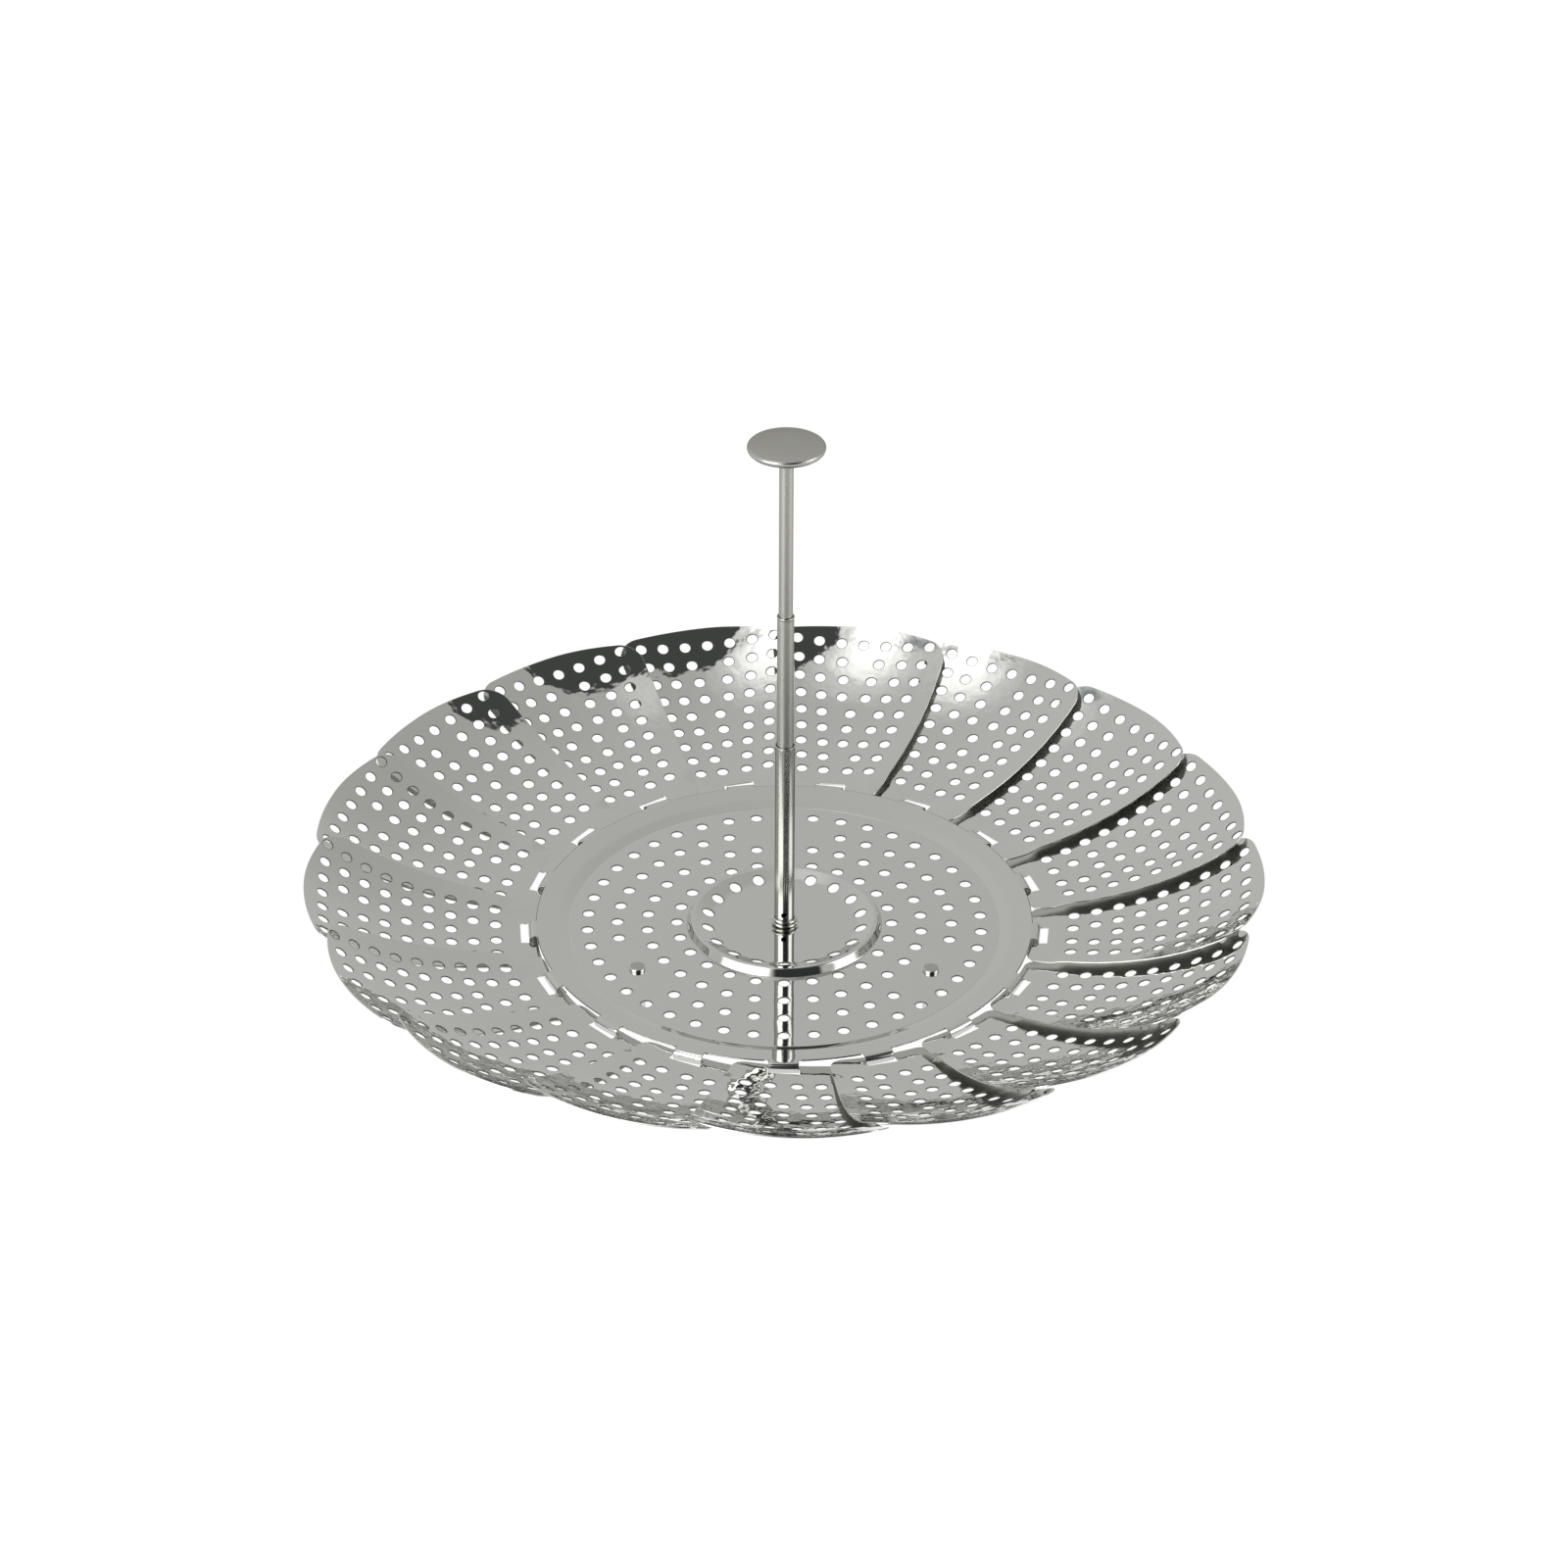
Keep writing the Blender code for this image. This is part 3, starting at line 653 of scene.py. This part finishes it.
# %% Plate blank
HUB_HOLE = 2.0 * MM
DISH_RADIUS = 20.7 * MM
BEAD_INNER = 26.2 * MM
BEAD_OUTER = 27.2 * MM
BEAD_FOOT = 28.5 * MM
FLOOR_RADIUS = 63.1 * MM
RIM_RADIUS = 72.7 * MM
FIRST_RING = 22.7 * MM
RING_PITCH = 8.75 * MM
FIRST_RING_COUNT = 18
RING_STEP = 6
RINGS = 5
FOOT_RING = 3
FEET = 3
TAB_WIDTH = 8.5 * MM
TAB_HALF = math.asin(TAB_WIDTH / 2 / RIM_RADIUS)
TAB_STEPS = 6
BETWEEN_STEPS = 14
CURL_RADIUS = 1.6 * MM
CURL_ANGLE = math.radians(240)
TAB_REACH = 0.6 * MM
CURL_STEPS = 22
BEAD_START = 24.75 * MM
RIM_START = 64.8 * MM
DISH_SPACING = 6.0 * MM
BEAD_SPACING = 0.15 * MM
FOLD_SPACING = 0.05 * MM
RIM_SPACING = 0.8 * MM


def ring_holes(ring):
    """Hole places of one ring; three are left out at each foot."""
    radius = FIRST_RING + ring * RING_PITCH
    count = FIRST_RING_COUNT + ring * RING_STEP
    for index in range(count):
        if ring != FOOT_RING or (index + 1) % (count // FEET) > 2:
            spot = clockwise(math.tau * index / count) * radius
            yield spot.x, spot.y


def evenly(start, end, spacing):
    """Radii from start to end, about a spacing apart."""
    steps = max(round((end - start) / spacing), 1)
    return [start + (end - start) * step / steps for step in range(steps + 1)]


def spin_band(blank, radii):
    """Spin a flat band whose rows are at these radii, with even steps across each tab."""
    start = clockwise(petal_turn(0) - TAB_HALF)
    corners = [blank.verts.new(start * radius) for radius in radii]
    chain = corners + [blank.edges.new(pair) for pair in zip(corners, corners[1:])]
    for _ in range(PETALS):
        for turn, steps in ((2 * TAB_HALF, TAB_STEPS), (PITCH - 2 * TAB_HALF, BETWEEN_STEPS)):
            swept = bmesh.ops.spin(
                blank, geom=chain, cent=(0, 0, 0), axis=(0, 0, -1), angle=turn, steps=steps, use_merge=False
            )
            chain = swept["geom_last"]


def edge_loop(blank, radius):
    """The open edges of the spun bands that run round at a radius."""
    loop = [edge for edge in blank.edges if edge.is_boundary]
    return [edge for edge in loop if all(abs(end.co.length - radius) < MM / 1000 for end in edge.verts)]


def draw_tab(blank, edges, outward):
    """Extrude the rim's edges at one petal straight out, in steps short enough to curl."""
    length = TAB_REACH + CURL_RADIUS * CURL_ANGLE
    for _ in range(CURL_STEPS):
        drawn = bmesh.ops.extrude_edge_only(blank, edges=edges)["geom"]
        ends = {part for part in drawn if isinstance(part, bmesh.types.BMVert)}
        drawn_edges = [part for part in drawn if isinstance(part, bmesh.types.BMEdge)]
        edges = [edge for edge in drawn_edges if ends.issuperset(edge.verts)]
        bmesh.ops.translate(blank, verts=list(ends), vec=outward * length / CURL_STEPS)


def plate_blank():
    blank = bmesh.new()
    dish = evenly(HUB_HOLE, DISH_RADIUS - 0.35 * MM, DISH_SPACING) + [DISH_RADIUS - 0.1 * MM]
    bead = evenly(BEAD_START, BEAD_FOOT + 0.6 * MM, BEAD_SPACING)
    fold = evenly(FLOOR_RADIUS - 0.35 * MM, FLOOR_RADIUS + 0.35 * MM, FOLD_SPACING)
    rim = fold + evenly(RIM_START, RIM_RADIUS, RIM_SPACING)
    for radii in (dish, bead, rim):
        spin_band(blank, radii)
    bmesh.ops.remove_doubles(blank, verts=blank.verts, dist=MM / 1000)
    for low, high, rings in ((dish[-1], bead[0], (0,)), (bead[-1], rim[0], range(1, RINGS))):
        border = edge_loop(blank, low) + edge_loop(blank, high)
        punch(blank, border, [spot for ring in rings for spot in ring_holes(ring)])
    outer = edge_loop(blank, RIM_RADIUS)
    for number in range(PETALS):
        outward = clockwise(petal_turn(number))
        near = [edge for edge in outer if all(end.co.angle(outward) < TAB_HALF + 0.001 for end in edge.verts)]
        draw_tab(blank, near, outward)
    # The plate's cut edge gets painted shade: a dark line along it.
    thicken(blank, painted_shade_edge=True)
    print("plate blank faces:", len(blank.faces))
    return blank


# %% [markdown]
# ## Pressing the plate
#
# The die raises a bead round the middle, which stiffens the floor, and lifts the rim by 2 mm, steeply at
# first and then less so. The section is drawn with straight lines whose corners are rounded as a press
# does it: each kink grows from nothing over a short stretch. Beyond the rim the tabs curl down and inwards
# round the hinge line.

# %% Plate press
PLATE_MIDDLE = PLATE_TOP - SHEET / 2
GROOVE = 0.15 * MM
GROOVE_SLOPE = 0.58
BEAD_HEIGHT = 2.2 * MM
RIM_KNEE = 66.4 * MM
RIM_KNEE_RISE = 0.95 * MM
RIM_RISE = 2.0 * MM
BEND = 0.1 * MM
SLOPES = (
    (DISH_RADIUS, BEAD_HEIGHT / (BEAD_INNER - DISH_RADIUS)),
    (BEAD_INNER, 0),
    (BEAD_OUTER, -BEAD_HEIGHT / (BEAD_FOOT - BEAD_OUTER)),
    (BEAD_FOOT, 0),
    (FLOOR_RADIUS - GROOVE, -GROOVE_SLOPE),
    (FLOOR_RADIUS, GROOVE_SLOPE),
    (FLOOR_RADIUS + GROOVE, RIM_KNEE_RISE / (RIM_KNEE - FLOOR_RADIUS - GROOVE)),
    (RIM_KNEE, (RIM_RISE - RIM_KNEE_RISE) / (RIM_RADIUS - RIM_KNEE)),
    (RIM_RADIUS + BEND, 0),
)
KINKS = [(start, slope - before) for (start, slope), (_, before) in zip(SLOPES, ((0, 0),) + SLOPES)]


def soft_ramp(distance):
    """Zero before a kink and the distance after it, with a rounded start."""
    if abs(distance) < BEND:
        return (distance + BEND) ** 2 / (4 * BEND)
    return max(distance, 0)


def pressed_height(radius):
    return PLATE_MIDDLE + sum(kink * soft_ramp(radius - start) for start, kink in KINKS)


def curl(length):
    """Reach and height of the tab past the rim, after a length of flat sheet."""
    if length <= TAB_REACH:
        return length, 0.0
    angle = (length - TAB_REACH) / CURL_RADIUS
    return TAB_REACH + CURL_RADIUS * math.sin(angle), CURL_RADIUS * (math.cos(angle) - 1)


def plate_shape(x, y):
    """Where a point of the flat plate ends up."""
    spot = Vector((x, y, 0))
    radius = spot.length
    if radius <= RIM_RADIUS:
        return Vector((x, y, pressed_height(radius)))
    turn = math.atan2(x, y) % math.tau
    outward = clockwise((math.floor(turn / PITCH) + 0.5) * PITCH)
    side = Vector((outward.y, -outward.x, 0))
    aside = spot.dot(side)
    fold = math.sqrt(RIM_RADIUS**2 - aside**2)
    reach, drop = curl(spot.dot(outward) - fold)
    return outward * (fold + reach) + side * aside + Vector((0, 0, pressed_height(RIM_RADIUS) + drop))


plate = press(plate_blank(), plate_shape, "pressed_plate")
add_piece("pressed_plate", plate, (plate_steel, under_steel, punched), "base", "base_plate")

# %% [markdown]
# ## The lower tube
#
# The lowest tube of the post is rolled from strip, so it is made like the rest of the sheet: a flat blank
# with the pin hole in it, whose shape rule rolls it up with the seam at the back. Its columns are narrow
# enough to roll smoothly. The pane of the grid where the pin hole goes is taken out and filled round the
# hole with triangles. The tube's mouth is flared a little.

# %% Lower tube
LOWER_RADIUS = 2.85 * MM
LOWER_WALL = 0.35 * MM
LOWER_TOP = 61.1 * MM
ROLL_RADIUS = LOWER_RADIUS - LOWER_WALL / 2
PIN_HEIGHT = 4.2 * MM
PIN_RADIUS = 0.75 * MM
WINDOW = 1.5 * MM
MOUTH = 0.7 * MM
MOUTH_SWELL = 0.15 * MM
TUBE_COLUMNS = 72
PIN_SIDES = 24


def tube_blank():
    flare = LOWER_TOP - MOUTH
    heights = (0, PIN_HEIGHT - WINDOW, PIN_HEIGHT + WINDOW, flare - 0.1 * MM, flare + 0.1 * MM, LOWER_TOP)
    rows = len(heights) - 1
    blank = bmesh.new()
    bmesh.ops.create_grid(blank, x_segments=TUBE_COLUMNS, y_segments=rows, size=1)
    for corner in blank.verts:
        row = round((corner.co.y + 1) * rows / 2)
        corner.co = Vector((corner.co.x * math.pi * ROLL_RADIUS, heights[row], 0))
    middles = [(face, face.calc_center_median()) for face in blank.faces]
    pane = [face for face, spot in middles if abs(spot.x) < WINDOW and abs(spot.y - PIN_HEIGHT) < WINDOW]
    border = dict.fromkeys(edge for face in pane for edge in face.edges)
    border = [edge for edge in border if sum(face in pane for face in edge.link_faces) == 1]
    bmesh.ops.delete(blank, geom=pane, context="FACES")
    punch(blank, border, [(0, PIN_HEIGHT)], PIN_RADIUS, PIN_SIDES)
    thicken(blank, LOWER_WALL)
    return blank


def rolled(x, y):
    """Roll the flat blank round the post's axis; the middle of its width faces the front."""
    turn = x / ROLL_RADIUS
    radius = ROLL_RADIUS + MOUTH_SWELL * max((y - LOWER_TOP) / MOUTH + 1, 0)
    return Vector((radius * math.sin(turn), -radius * math.cos(turn), PLATE_TOP + y))


tube = press(tube_blank(), rolled, "rolled_tube")
add_piece("rolled_lower_tube", tube, (tube_steel, tube_steel, punched), "base", "lower_tube")
print("lower tube faces:", len(tube.polygons))

# %% [markdown]
# ## Turned pieces
#
# The other two tubes, the knob, the rivet and the feet are round. Each is an outline of radius and height
# whose corners are softened, spun once round the post's axis.

# %% Turned pieces
MIDDLE_RADIUS = 2.4 * MM
UPPER_RADIUS = 2.0 * MM
INNER_WALL = 0.3 * MM
MIDDLE_SHOWN = 42.5 * MM
MIDDLE_HELD = 10.0 * MM
UPPER_SHOWN = 51.6 * MM
UPPER_HELD = 6.0 * MM
KNOB_RADIUS = 11.0 * MM
KNOB_THICKNESS = 2.2 * MM
GAP = 0.3 * MM
CLEARANCE = 0.15 * MM
FOOT_CIRCLE = FIRST_RING + FOOT_RING * RING_PITCH


def softened(outline, radius, steps=4):
    """Replace each inner corner of an outline by a small curve that starts and ends a radius away."""
    points = [Vector(point) for point in outline]
    path = [points[0]]
    for before, corner, after in zip(points, points[1:], points[2:]):
        start = corner + (before - corner).normalized() * min(radius, (before - corner).length / 2)
        end = corner + (after - corner).normalized() * min(radius, (after - corner).length / 2)
        for step in range(steps + 1):
            share = step / steps
            path.append(start * (1 - share) ** 2 + corner * 2 * share * (1 - share) + end * share**2)
    return path + [points[-1]]


def turned(name, outline, steps=96):
    """Spin an outline round the post's axis into a smooth mesh."""
    shape = bmesh.new()
    corners = [shape.verts.new((point[0], 0, point[1])) for point in outline]
    chain = corners + [shape.edges.new(pair) for pair in zip(corners, corners[1:])]
    bmesh.ops.spin(
        shape, geom=chain, cent=(0, 0, 0), axis=(0, 0, 1), angle=math.tau, steps=steps, use_merge=True
    )
    bmesh.ops.remove_doubles(shape, verts=shape.verts, dist=MM / 1000)
    bmesh.ops.recalc_face_normals(shape, faces=shape.faces)
    mesh = bpy.data.meshes.new(name)
    shape.to_mesh(mesh)
    shape.free()
    mesh.shade_smooth()
    mesh.set_sharp_from_angle(angle=math.radians(40))
    return mesh


def tube_outline(radius, bottom, top, swell=0.0):
    """A closed section of a tube whose mouth is rounded, and may be swelled."""
    bore = radius - INNER_WALL
    wide = radius + swell
    mouth = [(bore, top), (wide, top), (wide, top - 0.6 * MOUTH), (radius, top - MOUTH)]
    ring = [(bore, (top + bottom) / 2), *mouth, (radius, bottom), (bore, bottom)]
    return softened(ring + [ring[0]], INNER_WALL * 0.8)


LOWER_MOUTH = PLATE_TOP + LOWER_TOP
MIDDLE_MOUTH = LOWER_MOUTH + MIDDLE_SHOWN
UPPER_MOUTH = MIDDLE_MOUTH + UPPER_SHOWN
middle_top = MIDDLE_MOUTH - CLEARANCE
middle_section = tube_outline(MIDDLE_RADIUS, LOWER_MOUTH - MIDDLE_HELD, middle_top, MOUTH_SWELL)
middle = turned("turned_tube", middle_section)
for face in middle.polygons:
    face.material_index = int(face.center.z > middle_top - 1.05 * MOUTH)
upper = turned("turned_tube", tube_outline(UPPER_RADIUS, MIDDLE_MOUTH - UPPER_HELD, UPPER_MOUTH))
add_piece("satin_middle_tube", middle, (satin, tube_steel), "middle_tube", "middle_tube")
add_piece("satin_upper_tube", upper, (satin,), "upper_tube", "upper_tube")
print("post height, mm:", round((UPPER_MOUTH - PLATE_TOP) / MM, 1))

# %% [markdown]
# ## The knob, the rivet and the feet
#
# The knob is a flat disc with a faint crown and a rounded edge, on a spigot that sits in the upper tube.
# The rivet's head is under the plate. Each foot is a peg with a shoulder, and its riveted end shows on
# the plate as a small polished drum with a duller top. The outlines of foot and rivet are pairs of radius
# and height over the plate, in millimetres.

# %% Knob, rivet and feet
KNOB_ROUNDING = 0.4 * MM
SPIGOT_LENGTH = 5.0 * MM
FOOT_STEPS = 48
FOOT_HEAD = ((0, 1.02), (1.95, 0.98), (2.35, 0.8), (2.38, 0.05), (2.3, 0), (1.45, 0))
FOOT_SHANK = ((1.45, -0.5), (2.25, -0.5), (2.25, -16.5), (0, -16.5))
FOOT_TOP_START = 0.9 * MM
RIVET_STEM = ((0, 2.4), (2.2, 2.4), (2.2, 0), (1.8, 0))
RIVET_HEAD = ((1.8, -0.5), (4.5, -0.5), (4.3, -1.5), (3.4, -1.95), (0, -2))


def knob_outline():
    base = UPPER_MOUTH
    top = base + GAP + KNOB_THICKNESS
    spigot = UPPER_RADIUS - INNER_WALL - 0.05 * MM
    edge = softened(
        [
            (KNOB_RADIUS * 0.6, top - 0.05 * MM),
            (KNOB_RADIUS - 0.45 * MM, top - 0.3 * MM),
            (KNOB_RADIUS, top - 0.95 * MM),
            (KNOB_RADIUS - 0.3 * MM, base + 0.55 * MM),
            (KNOB_RADIUS - 1.3 * MM, base),
            (spigot, base),
        ],
        KNOB_ROUNDING,
        6,
    )
    end = base - SPIGOT_LENGTH
    return [(0, top), (KNOB_RADIUS * 0.3, top), *edge, (spigot, end), (0, end)]


def over_plate(outline):
    """An outline in millimetres over the plate's top as one in metres over the table."""
    return [(radius * MM, PLATE_TOP + height * MM) for radius, height in outline]


knob = turned("knob", knob_outline())
rivet = turned("rivet", over_plate([*RIVET_STEM, *softened(RIVET_HEAD, 0.4)]))
add_piece("satin_knob", knob, (satin_disc,), "upper_tube", "knob")
add_piece("turned_rivet", rivet, (satin_disc,), "base", "post_rivet")
for number in range(FEET):
    outline = over_plate(softened(FOOT_HEAD, 0.12) + softened(FOOT_SHANK, 0.4))
    foot = turned("foot", outline, FOOT_STEPS)
    for face in foot.polygons:
        face.material_index = int(face.normal.z > 0.9 and face.center.z > PLATE_TOP + FOOT_TOP_START)
    foot.transform(Matrix.Translation(clockwise(math.tau * number / FEET) * FOOT_CIRCLE))
    add_piece(f"riveted_foot_{number + 1}", foot, (bright, hammered), "base", f"foot_{number + 1}")
print("feet at radius, mm:", round(FOOT_CIRCLE / MM, 2))

# %% [markdown]
# ## The spring clip
#
# A piece of spring wire wound nearly one and a half times round the foot of the post keeps it on its
# rivet. It comes down like a screw thread, and its two ends are bent up and out. A curve with a round
# section follows the wire's path.

# %% Spring clip
WIRE_RADIUS = 0.42 * MM
COIL_RADIUS = LOWER_RADIUS + WIRE_RADIUS
COIL_HIGH = 1.98 * MM
COIL_PITCH = 1.38 * MM
COIL_START = -80
COIL_TURN = 520
COIL_STEPS = 72
FIRST_END = (0.3 * MM, 0.65 * MM)
LAST_END = (0.6 * MM, 0.95 * MM)


def wire_path():
    """Points along the wire: an upturned end, the coil and another upturned end."""
    points = []
    for step in range(COIL_STEPS + 1):
        turn = COIL_START + COIL_TURN * step / COIL_STEPS
        height = max(COIL_HIGH - COIL_PITCH * turn / 360, 1.1 * WIRE_RADIUS)
        aside = math.radians(turn)
        points.append(Vector((COIL_RADIUS * math.sin(aside), -COIL_RADIUS * math.cos(aside), height)))
    ends = []
    for point, (reach, rise) in ((points[0], FIRST_END), (points[-1], LAST_END)):
        outward = Vector((point.x, point.y, 0)).normalized()
        ends.append(point + outward * reach + Vector((0, 0, rise)))
    return [ends[0], *points, ends[1]]


def make_clip():
    wire = bpy.data.curves.new("clip_wire", "CURVE")
    wire.dimensions = "3D"
    wire.bevel_depth = WIRE_RADIUS
    wire.bevel_resolution = 4
    wire.use_fill_caps = True
    spline = wire.splines.new("POLY")
    path = wire_path()
    spline.points.add(len(path) - 1)
    for point, spot in zip(spline.points, path):
        point.co = (spot.x, spot.y, PLATE_TOP + spot.z, 1)
    draft = bpy.data.objects.new("clip_draft", wire)
    bpy.context.scene.collection.objects.link(draft)
    shown = draft.evaluated_get(bpy.context.evaluated_depsgraph_get())
    mesh = bpy.data.meshes.new_from_object(shown)
    bpy.data.objects.remove(draft)
    mesh.shade_smooth()
    return mesh


add_piece("wire_clip", make_clip(), (bright,), "base", "post_clip")
